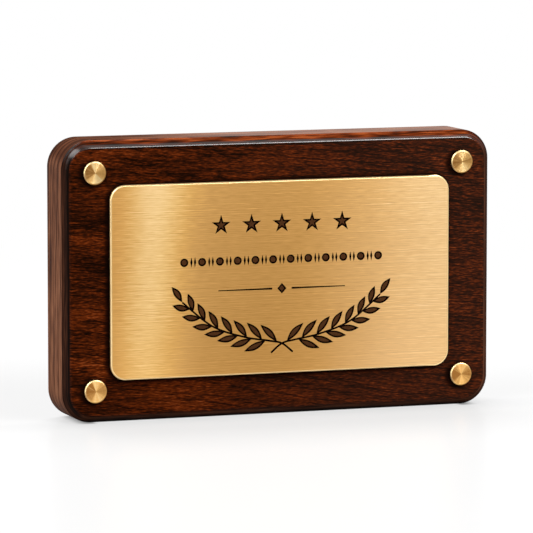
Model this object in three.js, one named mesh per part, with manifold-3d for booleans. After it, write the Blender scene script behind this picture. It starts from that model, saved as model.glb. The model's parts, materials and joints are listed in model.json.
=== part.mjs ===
// Award plaque: a hardwood board that stands on its lower edge, an engraved brass plate held on
// the front by a sheet of foam adhesive, and a capped screw in each corner.
// Millimetres, +Z up. The front faces -Y, and the origin is the middle of the bottom face.

import * as THREE from "three";
import { mergeVertices } from "three/addons/utils/BufferGeometryUtils.js";
import Module from "manifold-3d";

const wasm = await Module();
wasm.setup();

// Board: an 8 x 5 x 1 inch blank, trimmed a little in height, with a bevel round its front
const BOARD_WIDTH = 203.2;
const BOARD_HEIGHT = 126;
const BOARD_THICKNESS = 25.4;
const BOARD_CORNER_RADIUS = 13.2;
const BEVEL_INSET = 3.3; // how far the bevel runs in over the front face
const BEVEL_DEPTH = 3.4; // how far it runs back down the edge
const BEVEL_CROWN = 0.25; // how far its middle swells past a straight chamfer
const BACK_ARRIS = 0.6; // small chamfer round the back face

// Keyhole slot in the back: a screw head goes in at the round entry, and the board drops onto it
const KEYHOLE_DROP = 18; // from the board's top edge to the centre of the slot's upper end
const KEYHOLE_TRAVEL = 13; // from there down to the centre of the entry
const KEYHOLE_HEAD_WIDTH = 10; // clears the head, at the entry and behind the lip
const KEYHOLE_NECK_WIDTH = 5; // clears the shank
const KEYHOLE_LIP = 3; // thickness of the wood that the head hooks behind
const KEYHOLE_DEPTH = 9;

// Plate, its margins to the board's edges, and the adhesive sheet behind it
const PLATE_SIDE_MARGIN = 21;
const PLATE_END_MARGIN = 19.4; // above and below, before the plate is dropped
const PLATE_DROP = 0.5; // the plate sits this far below the board's middle
const PLATE_CORNER_RADIUS = 7;
const PLATE_THICKNESS = 1.5;
const PLATE_RIM_CHAMFER = 0.55; // polished chamfer round the front
const ADHESIVE_THICKNESS = 0.8;
const ADHESIVE_INSET = 1.3; // in from the plate's edge, which leaves a shadow gap

// Corner caps and the screws that they turn onto
const CAP_EDGE_DISTANCE = 14.3; // from two edges of the board to each cap's centre
const CAP_DIAMETER = 10.4;
const CAP_HEIGHT = 1.5;
const CAP_CHAMFER = 0.5;
const STUD_DIAMETER = 3;
const STUD_LENGTH = 4.5;
const STUD_LEAD = 0.4; // chamfer at the stud's end
const SCREW_LENGTH = 19;
const SCREW_SINK = 0.3; // from the board's face to the top of the sunk head
const SCREW_HEAD_DIAMETER = 8.4;
const SCREW_HEAD_EDGE = 0.5; // straight rim of the head, above its cone
const SCREW_SHANK_DIAMETER = 4.8;
const SCREW_POINT_LENGTH = 4.5;
const SCREW_SLOT_WIDTH = 1.2;
const SCREW_SLOT_DEPTH = 1;
const CLEARANCE = 0.3; // between a screw and its hole, and between a stud and its tapped hole

// Engraving, cut to one depth. Distances up and down are from the plate's middle, except
// for the sprays, which stand a set distance above its lower edge.
const ENGRAVING_DEPTH = 0.5;
const CROSSING_RISE = 13.5; // from the plate's lower edge to where the two stems cross
const STEM_REACH = 47.2; // from the crossing out to the foot of the end leaf
const STEM_RISE = 20.4; // and up to it
const STEM_FOOT_WIDTH = 0.8;
const STEM_END_WIDTH = 0.7;
const LEAVES_A_SIDE = 7;
const INNER_LEAF_LENGTH = 11.4; // next to the crossing
const OUTER_LEAF_LENGTH = 8.7; // next to the end leaf
const LEAF_WIDTH = 3.1;
const LEAF_SWEEP = 0.3; // how far a leaf's middle bows to one side
const LOZENGE_WIDTH = 4.4;
const LOZENGE_HEIGHT = 4.8;
const RULE_FALL = 5.2; // the rules and the lozenge lie this far below the middle
const RULE_LENGTH = 25.6;
const RULE_GAP = 2.4; // between a rule and the lozenge
const RULE_INNER_WIDTH = 0.75;
const RULE_OUTER_WIDTH = 0.35;
const STAR_COUNT = 5;
const STAR_RISE = 24.2; // from the plate's middle to the row of stars
const STAR_RADIUS = 4.7;
const STAR_PITCH = 14.4;
const BEAD_COUNT = 12;
const BEAD_RISE = 8; // from the plate's middle to the row of beads and reels
const BEAD_DIAMETER = 3.8;
const BEAD_PITCH = 8.4;
const REEL_WIDTH = 1.1;
const REEL_HEIGHT = 4.6;
const REEL_SPACING = 1.7; // between the two reels of a pair

// Smoothness of the curves
const CORNER_STEPS = 12; // in each quarter turn of an outline
const BEVEL_STEPS = 4;
const ROUND_STEPS = 32; // in a full turn of a cap, a screw or a bore
const STEM_STEPS = 20;
const LEAF_STEPS = 6; // along each side of a leaf
const BEAD_STEPS = 12;
const CUTTER_OVERRUN = 1; // how far a cutter reaches out past the face that it enters

// The stem's course, as shares of STEM_REACH and STEM_RISE from the crossing
const STEM_COURSE = [[-0.11, -0.2], [0, 0], [0.13, 0.07], [0.386, 0.18], [0.7, 0.445], [1, 1]];
// Where the leaves of each row spring, as shares of the stem past the crossing, and where they
// point, in degrees above level. They turn upwards along the row, faster towards its end where
// the ease is over 1.
const UPPER_ROW = { side: 1, first: 0.045, last: 0.87, firstAngle: 45, lastAngle: 73, ease: 1.35 };
const LOWER_ROW = { side: -1, first: 0.15, last: 0.905, firstAngle: -24, lastAngle: 13, ease: 0.95 };
const END_LEAF_ANGLE = 55;

const PLATE_WIDTH = BOARD_WIDTH - 2 * PLATE_SIDE_MARGIN;
const PLATE_HEIGHT = BOARD_HEIGHT - 2 * PLATE_END_MARGIN;
const PLATE_CENTRE_Z = BOARD_HEIGHT / 2 - PLATE_DROP;

function degrees(angle) {
  return (angle * Math.PI) / 180;
}

// Gives a geometry's shell with its shared vertices merged and its empty triangles left out
function closedShell(geometry) {
  const bare = geometry.clone();
  bare.deleteAttribute("normal");
  bare.deleteAttribute("uv");
  const shell = mergeVertices(bare, 1e-5);
  const corners = shell.index.array;
  const kept = [];
  for (let i = 0; i < corners.length; i += 3) {
    const [a, b, c] = [corners[i], corners[i + 1], corners[i + 2]];
    if (a !== b && b !== c && c !== a) {
      kept.push(a, b, c);
    }
  }
  shell.setIndex(kept);
  return shell;
}

function toSolid(geometry) {
  const shell = closedShell(geometry);
  return new wasm.Manifold(new wasm.Mesh({
    numProp: 3,
    vertProperties: Float32Array.from(shell.attributes.position.array),
    triVerts: Uint32Array.from(shell.index.array),
  }));
}

function toGeometry(solid) {
  const mesh = solid.getMesh();
  const geometry = new THREE.BufferGeometry();
  geometry.setAttribute("position", new THREE.BufferAttribute(mesh.vertProperties, 3));
  geometry.setIndex(new THREE.BufferAttribute(mesh.triVerts, 1));
  geometry.computeVertexNormals();
  return geometry;
}

function joined(solids) {
  return solids.reduce((whole, solid) => whole.add(solid));
}

// A rounded rectangle about the origin, anticlockwise as seen from the front
function roundedRectangle(width, height, radius) {
  const points = [];
  const quarters = [[1, 1], [-1, 1], [-1, -1], [1, -1]];
  quarters.forEach(([sideX, sideZ], quarter) => {
    const centreX = sideX * (width / 2 - radius);
    const centreZ = sideZ * (height / 2 - radius);
    for (let step = 0; step <= CORNER_STEPS; step += 1) {
      const angle = degrees(90 * (quarter + step / CORNER_STEPS));
      points.push([centreX + radius * Math.cos(angle), centreZ + radius * Math.sin(angle)]);
    }
  });
  return points;
}

// A slab with a rounded rectangular outline. Its edge follows a profile from front to back:
// at each y, the outline is drawn in by an inset.
function profiledSlab(width, height, radius, profile) {
  const rings = profile.map(({ inset, y }) =>
    roundedRectangle(width - 2 * inset, height - 2 * inset, radius - inset)
      .map(([x, z]) => [x, y, z]));
  const count = rings[0].length;
  const indices = [];
  for (let ring = 0; ring + 1 < rings.length; ring += 1) {
    for (let i = 0; i < count; i += 1) {
      const next = (i + 1) % count;
      const here = ring * count;
      const behind = here + count;
      indices.push(here + i, behind + i, here + next);
      indices.push(here + next, behind + i, behind + next);
    }
  }
  const last = (rings.length - 1) * count;
  for (let i = 1; i + 1 < count; i += 1) {
    indices.push(0, i, i + 1);
    indices.push(last, last + i + 1, last + i);
  }
  const geometry = new THREE.BufferGeometry();
  geometry.setAttribute("position", new THREE.Float32BufferAttribute(rings.flat(2), 3));
  geometry.setIndex(indices);
  return geometry;
}

// A prism whose outline is drawn in x and z. It fills y from front to back.
function prism(points, front, back) {
  const shape = new THREE.Shape(points.map(([x, z]) => new THREE.Vector2(x, z)));
  const geometry = new THREE.ExtrudeGeometry(shape, { depth: back - front, bevelEnabled: false });
  return geometry.rotateX(degrees(90)).translate(0, back, 0);
}

// A piece turned about the y axis, from [radius, y] points given in order of rising y
function turned(profile) {
  return new THREE.LatheGeometry(profile.map(([r, y]) => new THREE.Vector2(r, y)), ROUND_STEPS);
}

// A slot with round ends, from a centre at the origin down to one a travel below it
function slotOutline(width, travel) {
  const points = [];
  for (const [start, centreZ] of [[0, 0], [180, -travel]]) {
    for (let step = 0; step <= CORNER_STEPS; step += 1) {
      const angle = degrees(start + (180 * step) / CORNER_STEPS);
      points.push([(width / 2) * Math.cos(angle), centreZ + (width / 2) * Math.sin(angle)]);
    }
  }
  return points;
}

// Board

function boardProfile() {
  const slope = Math.hypot(BEVEL_INSET, BEVEL_DEPTH);
  const profile = [];
  for (let step = 0; step <= BEVEL_STEPS; step += 1) {
    const share = step / BEVEL_STEPS;
    const swell = step % BEVEL_STEPS === 0 ? 0 : BEVEL_CROWN * Math.sin(Math.PI * share);
    profile.push({
      inset: BEVEL_INSET * (1 - share) - (swell * BEVEL_DEPTH) / slope,
      y: BEVEL_DEPTH * share - (swell * BEVEL_INSET) / slope,
    });
  }
  profile.push({ inset: 0, y: BOARD_THICKNESS - BACK_ARRIS });
  profile.push({ inset: BACK_ARRIS, y: BOARD_THICKNESS });
  return profile;
}

// The keyhole slot is cut in three passes: the round entry, the neck through the lip, and
// the wider way behind the lip
function keyholeCutter() {
  const back = BOARD_THICKNESS;
  const floor = back - KEYHOLE_DEPTH;
  const entry = prism(slotOutline(KEYHOLE_HEAD_WIDTH, 0), floor, back + CUTTER_OVERRUN)
    .translate(0, 0, -KEYHOLE_TRAVEL);
  const neck = prism(slotOutline(KEYHOLE_NECK_WIDTH, KEYHOLE_TRAVEL), floor, back + CUTTER_OVERRUN);
  const headWay = prism(slotOutline(KEYHOLE_HEAD_WIDTH, KEYHOLE_TRAVEL), floor, back - KEYHOLE_LIP);
  return joined([entry, neck, headWay].map(toSolid))
    .translate([0, 0, BOARD_HEIGHT / 2 - KEYHOLE_DROP]);
}

// A screw's countersunk hole: the screw's own shape grown by the clearance all round
function screwHoleCutter() {
  const head = SCREW_HEAD_DIAMETER / 2 + CLEARANCE;
  const shank = SCREW_SHANK_DIAMETER / 2 + CLEARANCE;
  const coneTop = SCREW_SINK + SCREW_HEAD_EDGE + CLEARANCE;
  const end = SCREW_SINK + SCREW_LENGTH + CLEARANCE;
  return toSolid(turned([
    [0, -CUTTER_OVERRUN],
    [head, -CUTTER_OVERRUN],
    [head, coneTop],
    [shank, coneTop + head - shank],
    [shank, end - SCREW_POINT_LENGTH + CLEARANCE],
    [CLEARANCE, end],
    [0, end],
  ]));
}

function boardGeometry(corners) {
  const blank = toSolid(
    profiledSlab(BOARD_WIDTH, BOARD_HEIGHT, BOARD_CORNER_RADIUS, boardProfile()));
  const hole = screwHoleCutter();
  const holes = corners.map(({ x, z }) => hole.translate([x, 0, z - BOARD_HEIGHT / 2]));
  return toGeometry(blank.subtract(joined([keyholeCutter(), ...holes])));
}

// Adhesive sheet

function adhesiveGeometry() {
  return profiledSlab(
    PLATE_WIDTH - 2 * ADHESIVE_INSET,
    PLATE_HEIGHT - 2 * ADHESIVE_INSET,
    PLATE_CORNER_RADIUS - ADHESIVE_INSET,
    [{ inset: 0, y: -ADHESIVE_THICKNESS }, { inset: 0, y: 0 }]);
}

// Engraving. Every function here gives outlines as [x, z] points from the plate's middle.

function moved(points, x, z) {
  return points.map(([px, pz]) => [px + x, pz + z]);
}

// Mirrors an outline to the plate's other side and keeps it anticlockwise
function mirrored(points) {
  return points.map(([x, z]) => [-x, z]).reverse();
}

function stemCurve() {
  const crossing = CROSSING_RISE - PLATE_HEIGHT / 2;
  return new THREE.SplineCurve(STEM_COURSE.map(([reach, rise]) =>
    new THREE.Vector2(STEM_REACH * reach, crossing + STEM_RISE * rise)));
}

// The share of the stem's length at which it passes the crossing, where x is zero
function crossingShare(curve) {
  let low = 0;
  let high = 0.5;
  while (high - low > 1e-6) {
    const middle = (low + high) / 2;
    if (curve.getPointAt(middle).x < 0) {
      low = middle;
    } else {
      high = middle;
    }
  }
  return low;
}

function stemOutline(curve) {
  const right = [];
  const left = [];
  for (let step = 0; step <= STEM_STEPS; step += 1) {
    const share = step / STEM_STEPS;
    const point = curve.getPointAt(share);
    const along = curve.getTangentAt(share);
    const half = THREE.MathUtils.lerp(STEM_FOOT_WIDTH, STEM_END_WIDTH, share) / 2;
    right.push([point.x + along.y * half, point.y - along.x * half]);
    left.unshift([point.x - along.y * half, point.y + along.x * half]);
  }
  return [...right, ...left];
}

// A leaf pointed at both ends, from its foot at the origin, along +x. It bows to the side
// that sweep names, 1 for +z and -1 for -z.
function leafOutline(length, sweep) {
  const lower = [];
  const upper = [];
  for (let step = 0; step <= LEAF_STEPS; step += 1) {
    const share = step / LEAF_STEPS;
    const belly = Math.sin(Math.PI * share);
    const middle = sweep * LEAF_SWEEP * belly;
    lower.push([length * share, middle - (LEAF_WIDTH / 2) * belly]);
    if (step > 0 && step < LEAF_STEPS) {
      upper.unshift([length * share, middle + (LEAF_WIDTH / 2) * belly]);
    }
  }
  return [...lower, ...upper];
}

function leafAt(foot, angle, length, sweep) {
  const turn = degrees(angle);
  return leafOutline(length, sweep).map(([x, z]) => [
    foot.x + x * Math.cos(turn) - z * Math.sin(turn),
    foot.y + x * Math.sin(turn) + z * Math.cos(turn),
  ]);
}

// One spray: a stem, a row of leaves on each side of it, and a leaf at its end
function sprayOutlines() {
  const curve = stemCurve();
  const crossing = crossingShare(curve);
  const endLeaf = leafAt(curve.getPointAt(1), END_LEAF_ANGLE, OUTER_LEAF_LENGTH, 1);
  const outlines = [stemOutline(curve), endLeaf];
  for (const row of [UPPER_ROW, LOWER_ROW]) {
    for (let leaf = 0; leaf < LEAVES_A_SIDE; leaf += 1) {
      const along = leaf / (LEAVES_A_SIDE - 1);
      const share = crossing + (1 - crossing) * THREE.MathUtils.lerp(row.first, row.last, along);
      const angle = THREE.MathUtils.lerp(row.firstAngle, row.lastAngle, along ** row.ease);
      const length = THREE.MathUtils.lerp(INNER_LEAF_LENGTH, OUTER_LEAF_LENGTH, along);
      outlines.push(leafAt(curve.getPointAt(share), angle, length, row.side));
    }
  }
  return outlines;
}

function lozengeOutline(width, height) {
  return [[width / 2, 0], [0, height / 2], [-width / 2, 0], [0, -height / 2]];
}

function ruleOutline() {
  const inner = LOZENGE_WIDTH / 2 + RULE_GAP;
  const outer = inner + RULE_LENGTH;
  return [
    [inner, -RULE_INNER_WIDTH / 2],
    [outer, -RULE_OUTER_WIDTH / 2],
    [outer, RULE_OUTER_WIDTH / 2],
    [inner, RULE_INNER_WIDTH / 2],
  ];
}

// Five points, on a ring 0.382 times as wide as the one through the tips
function starOutline() {
  return Array.from({ length: 10 }, (_, i) => {
    const radius = i % 2 === 0 ? STAR_RADIUS : STAR_RADIUS * 0.382;
    const angle = degrees(90 + 36 * i);
    return [radius * Math.cos(angle), radius * Math.sin(angle)];
  });
}

function beadOutline() {
  return Array.from({ length: BEAD_STEPS }, (_, i) => {
    const angle = (2 * Math.PI * i) / BEAD_STEPS;
    return [(BEAD_DIAMETER / 2) * Math.cos(angle), (BEAD_DIAMETER / 2) * Math.sin(angle)];
  });
}

// A row of copies of an outline, centred on x = 0
function rowOf(outline, count, pitch, z) {
  return Array.from({ length: count }, (_, i) =>
    moved(outline, (i - (count - 1) / 2) * pitch, z));
}

function engravingOutlines() {
  const spray = sprayOutlines();
  const rule = moved(ruleOutline(), 0, -RULE_FALL);
  const reel = lozengeOutline(REEL_WIDTH, REEL_HEIGHT);
  const reelPairs = [-REEL_SPACING / 2, REEL_SPACING / 2].flatMap((x) =>
    rowOf(moved(reel, x, 0), BEAD_COUNT - 1, BEAD_PITCH, BEAD_RISE));
  return [
    ...spray,
    ...spray.map(mirrored),
    rule,
    mirrored(rule),
    moved(lozengeOutline(LOZENGE_WIDTH, LOZENGE_HEIGHT), 0, -RULE_FALL),
    ...rowOf(starOutline(), STAR_COUNT, STAR_PITCH, STAR_RISE),
    ...rowOf(beadOutline(), BEAD_COUNT, BEAD_PITCH, BEAD_RISE),
    ...reelPairs,
  ];
}

// Plate

function plateGeometry() {
  const front = -PLATE_THICKNESS;
  const blank = toSolid(profiledSlab(PLATE_WIDTH, PLATE_HEIGHT, PLATE_CORNER_RADIUS, [
    { inset: PLATE_RIM_CHAMFER, y: front },
    { inset: 0, y: front + PLATE_RIM_CHAMFER },
    { inset: 0, y: 0 },
  ]));
  const cutters = engravingOutlines().map((outline) =>
    toSolid(prism(outline, front - CUTTER_OVERRUN, front + ENGRAVING_DEPTH)));
  return toGeometry(blank.subtract(joined(cutters)));
}

// Caps and screws, turned about y, with y = 0 at the board's face

function capGeometry() {
  const rim = CAP_DIAMETER / 2;
  const stud = STUD_DIAMETER / 2;
  return closedShell(turned([
    [0, -CAP_HEIGHT],
    [rim - CAP_CHAMFER, -CAP_HEIGHT],
    [rim, CAP_CHAMFER - CAP_HEIGHT],
    [rim, 0],
    [stud, 0],
    [stud, STUD_LENGTH - STUD_LEAD],
    [stud - STUD_LEAD, STUD_LENGTH],
    [0, STUD_LENGTH],
  ]));
}

function screwGeometry() {
  const head = SCREW_HEAD_DIAMETER / 2;
  const shank = SCREW_SHANK_DIAMETER / 2;
  const tapped = STUD_DIAMETER / 2 + CLEARANCE;
  const top = SCREW_SINK;
  const coneTop = top + SCREW_HEAD_EDGE;
  const end = top + SCREW_LENGTH;
  const body = toSolid(turned([
    [0, STUD_LENGTH + CLEARANCE],
    [tapped, STUD_LENGTH + CLEARANCE],
    [tapped, top],
    [head, top],
    [head, coneTop],
    [shank, coneTop + head - shank],
    [shank, end - SCREW_POINT_LENGTH],
    [0, end],
  ]));
  const slotLength = SCREW_HEAD_DIAMETER + 2 * CUTTER_OVERRUN;
  const slotFloor = top + SCREW_SLOT_DEPTH;
  const slot = new THREE.BoxGeometry(slotLength, SCREW_SLOT_DEPTH + CUTTER_OVERRUN, SCREW_SLOT_WIDTH)
    .translate(0, slotFloor - (SCREW_SLOT_DEPTH + CUTTER_OVERRUN) / 2, 0);
  return toGeometry(body.subtract(toSolid(slot)));
}

// Assembly

const wood = new THREE.MeshStandardMaterial({ color: 0x41200f, roughness: 0.5, metalness: 0 });
const brushedBrass = new THREE.MeshStandardMaterial({ color: 0xdcae68, roughness: 0.35, metalness: 1 });
const turnedBrass = new THREE.MeshStandardMaterial({ color: 0xe0b46c, roughness: 0.25, metalness: 1 });
const zincSteel = new THREE.MeshStandardMaterial({ color: 0xa9a9a4, roughness: 0.4, metalness: 1 });
const blackFoam = new THREE.MeshStandardMaterial({ color: 0x141414, roughness: 0.9, metalness: 0 });

function named(name, geometry, material, x, y, z) {
  const mesh = new THREE.Mesh(geometry, material);
  mesh.name = name;
  mesh.position.set(x, y, z);
  return mesh;
}

const corners = [["top", 1], ["bottom", -1]].flatMap(([level, up]) =>
  [["left", -1], ["right", 1]].map(([side, out]) => ({
    name: `${level}_${side}`,
    x: out * (BOARD_WIDTH / 2 - CAP_EDGE_DISTANCE),
    z: BOARD_HEIGHT / 2 + up * (BOARD_HEIGHT / 2 - CAP_EDGE_DISTANCE),
  })));

// The group's own y = 0 is the board's front face, which everything else is seated on
const plaque = new THREE.Group();
plaque.position.y = -BOARD_THICKNESS / 2;
plaque.add(named("board", boardGeometry(corners), wood, 0, 0, BOARD_HEIGHT / 2));
plaque.add(named("plate_adhesive", adhesiveGeometry(), blackFoam, 0, 0, PLATE_CENTRE_Z));
plaque.add(named(
  "engraved_plate", plateGeometry(), brushedBrass, 0, -ADHESIVE_THICKNESS, PLATE_CENTRE_Z));

const cap = capGeometry();
const screw = screwGeometry();
for (const { name, x, z } of corners) {
  plaque.add(named(`screw_${name}`, screw, zincSteel, x, 0, z));
  plaque.add(named(`cap_${name}`, cap, turnedBrass, x, 0, z));
}

const model = new THREE.Group();
model.add(plaque);

export default model;
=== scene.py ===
"""The looks of the award plaque: a rosewood board, an engraved brass plate and four turned
brass caps, on a white studio floor. Sizes are in millimetres until the meshes are made."""

import json
import math

import bmesh
import bpy
from mathutils import Matrix, Vector

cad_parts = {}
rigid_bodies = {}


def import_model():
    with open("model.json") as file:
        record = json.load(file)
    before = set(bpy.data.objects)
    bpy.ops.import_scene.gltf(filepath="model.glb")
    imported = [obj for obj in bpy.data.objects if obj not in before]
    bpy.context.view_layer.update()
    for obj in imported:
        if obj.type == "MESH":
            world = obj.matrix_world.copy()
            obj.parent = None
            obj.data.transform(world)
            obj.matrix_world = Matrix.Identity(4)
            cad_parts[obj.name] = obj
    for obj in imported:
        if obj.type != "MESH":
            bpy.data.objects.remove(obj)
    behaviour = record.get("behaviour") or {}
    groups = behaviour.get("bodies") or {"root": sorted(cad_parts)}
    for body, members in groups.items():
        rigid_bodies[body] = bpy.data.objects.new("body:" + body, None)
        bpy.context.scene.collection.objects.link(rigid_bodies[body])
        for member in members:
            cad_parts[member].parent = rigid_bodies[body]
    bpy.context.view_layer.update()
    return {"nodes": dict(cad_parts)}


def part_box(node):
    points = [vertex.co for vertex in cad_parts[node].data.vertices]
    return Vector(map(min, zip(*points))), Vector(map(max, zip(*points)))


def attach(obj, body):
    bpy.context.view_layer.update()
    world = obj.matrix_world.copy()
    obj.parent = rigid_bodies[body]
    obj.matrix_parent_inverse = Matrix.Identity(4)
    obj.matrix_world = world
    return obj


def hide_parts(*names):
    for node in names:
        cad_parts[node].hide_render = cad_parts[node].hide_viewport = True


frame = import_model()

MM = 0.001  # a millimetre in the scene's metres

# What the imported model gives
BOARD_LOW, BOARD_HIGH = (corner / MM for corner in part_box("board"))
PLATE_LOW, PLATE_HIGH = (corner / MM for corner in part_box("engraved_plate"))
BOARD_WIDTH = BOARD_HIGH.x - BOARD_LOW.x
BOARD_HEIGHT = BOARD_HIGH.z - BOARD_LOW.z
BOARD_FRONT = BOARD_LOW.y
BOARD_BACK = BOARD_HIGH.y
PLATE_WIDTH = PLATE_HIGH.x - PLATE_LOW.x
PLATE_HEIGHT = PLATE_HIGH.z - PLATE_LOW.z
PLATE_FRONT = PLATE_LOW.y
PLATE_BACK = PLATE_HIGH.y
PLATE_MIDDLE = (PLATE_HIGH.z + PLATE_LOW.z) / 2
PLATE_RIGHT = PLATE_HIGH.x
CAPS = ("top_left", "top_right", "bottom_left", "bottom_right")

# Board
BOARD_CORNER_RADIUS = 13.2
BEVEL_INSET = 3.3
BEVEL_DEPTH = 3.4
BEVEL_CROWN = 0.25
BEVEL_STEPS = 8
FRONT_ARRIS = 1.4  # radius worn onto the edge between the front face and the bevel
SIDE_ARRIS = 0.12
BACK_ARRIS = 0.6
KEYHOLE_DROP = 18
KEYHOLE_TRAVEL = 13
KEYHOLE_HEAD_WIDTH = 10
KEYHOLE_NECK_WIDTH = 5
KEYHOLE_LIP = 3
KEYHOLE_DEPTH = 9
SCREW_HOLE = ((4.5, -1), (4.5, 1.1), (2.7, 2.9), (2.7, 15.4), (0.3, 19.6))  # radii and depths

# Plate
PLATE_CORNER_RADIUS = 7
RIM_CHAMFER = 0.5
RIM_ARRIS = 0.42
ENGRAVING_DEPTH = 0.5
CUTTER_RISE = 0.5  # how far the engraving's cutters stand out of the plate's face
ENAMEL_GAP = 0.72  # bare groove left round the enamel in each shape
ENAMEL_BEVEL = 0.08
ENAMEL_SINK = 0.14  # from the plate's face down to the enamel

# Engraving, in mm from the plate's middle
CROSSING_RISE = 13.5
STEM_REACH = 47.2
STEM_RISE = 20.4
STEM_COURSE = ((-0.11, -0.2), (0, 0), (0.13, 0.07), (0.386, 0.18), (0.7, 0.445), (1, 1))
STEM_FOOT_WIDTH = 0.9
STEM_TIP_WIDTH = 0.8
LEAVES_A_SIDE = 7
INNER_LEAF_LENGTH = 11.4
OUTER_LEAF_LENGTH = 8.7
# Each row's side of the stem, the shares of the stem between which it stands, its first and last
# angles, and the ease of the turn between them
UPPER_ROW = (1, (0.045, 0.87), (45, 73), 1.35)
LOWER_ROW = (-1, (0.15, 0.905), (-24, 13), 0.95)
END_LEAF_ANGLE = 55
LEAF_WIDTH = 3.1
LEAF_SWEEP = 0.3
LOZENGE = (4.4, 4.8)
RULE_FALL = 5.2
RULE_ENDS = (4.6, 30.2)
RULE_WIDTHS = (0.85, 0.45)
STAR_COUNT = 5
STAR_ARMS = 5
STAR_RISE = 24.2
STAR_RADIUS = 4.7
STAR_WAIST = 0.382
STAR_PITCH = 14.4
BEAD_COUNT = 12
BEAD_RISE = 8
BEAD_DIAMETER = 3.8
BEAD_PITCH = 8.4
REEL = (1.1, 4.6)
REEL_SPACING = 1.7

# Caps
CAP_CHAMFER = 0.4
CAP_ARRIS = 0.08
CAP_FACE = (4.62, 4.74)  # radii between which the turned face gives way to the rim
# Each cap's level of painted light: the upper caps paler, the lower ones darker
CAP_PAINTED_LIGHT = {"top_left": 0.49, "top_right": 0.46, "bottom_left": 0.35, "bottom_right": 0.28}
STUD_RADIUS = 1.5
STUD_LEAD = 0.4
RING_PITCH = 0.45  # of the rings left by the lathe
RING_LEAN = 0.24  # slope of the rings' sides

# Painted shadow on the board, round the plate and the caps
SHADOW_REACH = 2.6
SHADOW_CAP_RADIUS = 4.9  # at which it begins round a cap
SHADOW_LEFT = 0.7  # how far it lies to the left of the plate, and below the plate and the caps
SHADOW_BELOW = 0.6
SHADOW_CAP_LEFT = 1.4

# The photograph's view of it, from the left and a little above
CAMERA_AZIMUTH = -19.446
CAMERA_ELEVATION = 6.453
CAMERA_DISTANCE = 2.0162
CAMERA_TARGET = (-6.537, -12.7, 67.129)
CAMERA_LENS = 303.3

# Studio, in metres and watts
FLOOR_RADIUS = 6
FLOOR_LIGHT = 0.69
ROOM_FRONT = 0.42
ROOM_BACK = 1
LAMP_DISTANCE = 1.9
# Each lamp's azimuth, elevation, width, height and power. Azimuth 0 is in front, and grows to
# the right.
SOFTBOXES = {
    "key_softbox": (32, 34, 0.9, 0.7, 22),
    "front_softbox": (19, 4, 1.2, 1.5, 2.4),
    "upper_left_softbox": (-60, 48, 1.0, 0.9, 19),
    "overhead_softbox": (180, 64, 1.2, 0.8, 40),
    "left_softbox": (-72, 14, 0.4, 0.9, 5),
}

# Smoothness
CORNER_STEPS = 32  # in a quarter turn
ROUND_STEPS = 96  # in a full turn
ARRIS_STEPS = 6
LEAF_POINTS = 36  # round a leaf or a bead
STEM_POINTS = 60
SHARP_ANGLE = math.radians(9)
WELD = 1e-7  # metres

scene = bpy.context.scene


def srgb(red, green, blue):
    """A colour picked on a screen, 0 to 255, as the linear values that a shader wants."""
    def linear(level):
        share = level / 255
        if share <= 0.04045:
            return share / 12.92
        return ((share + 0.055) / 1.055) ** 2.4

    return (linear(red), linear(green), linear(blue), 1)


def grey(level):
    return (level, level, level, 1)


# Node trees


class Wire:
    """An output of a node. Arithmetic on it adds Math nodes to its tree."""

    def __init__(self, tree, socket):
        self.tree = tree
        self.socket = socket

    def math(self, operation, *others):
        sockets = dict(enumerate((self, *others)))
        return self.tree.node("ShaderNodeMath", {"operation": operation}, sockets)

    def __add__(self, other):
        return self.math("ADD", other)

    def __sub__(self, other):
        return self.math("SUBTRACT", other)

    def __rsub__(self, other):
        return self * -1 + other

    def __mul__(self, other):
        return self.math("MULTIPLY", other)

    def __truediv__(self, other):
        return self.math("DIVIDE", other)

    def __pow__(self, other):
        return self.math("POWER", other)

    __radd__ = __add__
    __rmul__ = __mul__


class Tree:
    """A node tree, filled one node at a time."""

    def __init__(self, nodes):
        self.group = nodes

    def node(self, kind, settings=None, sockets=None, output=0):
        """Adds a node, sets it up, feeds its sockets and gives one of its outputs."""
        node = self.group.nodes.new(kind)
        for name, value in (settings or {}).items():
            if name == "stops":
                set_stops(node.color_ramp, value)
            else:
                setattr(node, name, value)
        for key, value in (sockets or {}).items():
            for each in value if isinstance(value, list) else [value]:
                if isinstance(each, Wire):
                    self.group.links.new(each.socket, node.inputs[key])
                else:
                    node.inputs[key].default_value = each
        return Wire(self, node.outputs[output])

    def vector(self, x=0, y=0, z=0):
        return self.node("ShaderNodeCombineXYZ", None, {0: x, 1: y, 2: z})

    def split(self, vector):
        node = self.node("ShaderNodeSeparateXYZ", None, {0: vector}).socket.node
        return [Wire(self, output) for output in node.outputs]

    def vector_math(self, operation, *vectors):
        return self.node("ShaderNodeVectorMath", {"operation": operation}, dict(enumerate(vectors)))

    def step(self, value, low, high):
        """Rises smoothly from 0 to 1 as value goes from low to high."""
        return self.node("ShaderNodeMapRange", {"interpolation_type": "SMOOTHSTEP"},
                         {"Value": value, "From Min": low, "From Max": high})

    def noise(self, vector, scale=1, detail=2, roughness=0.5):
        """Noise about 0.5 whose cells are as large as the vector's units over scale."""
        return self.node("ShaderNodeTexNoise", None, {
            "Vector": vector, "Scale": scale, "Detail": detail, "Roughness": roughness})

    def blend(self, factor, first, second):
        """Mixes two colours."""
        return self.node("ShaderNodeMix", {"data_type": "RGBA"},
                         {0: factor, 6: first, 7: second}, output=2)

    def ramp(self, factor, *stops):
        """Gives the colour at a factor, from stops of a position and a colour."""
        return self.node("ShaderNodeValToRGB", {"stops": stops}, {0: factor})


def set_stops(ramp, stops):
    """Replaces a ramp's stops."""
    while len(ramp.elements) > 1:
        ramp.elements.remove(ramp.elements[-1])
    ramp.elements[0].position, ramp.elements[0].color = stops[0]
    for position, colour in stops[1:]:
        ramp.elements.new(position).color = colour


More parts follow.
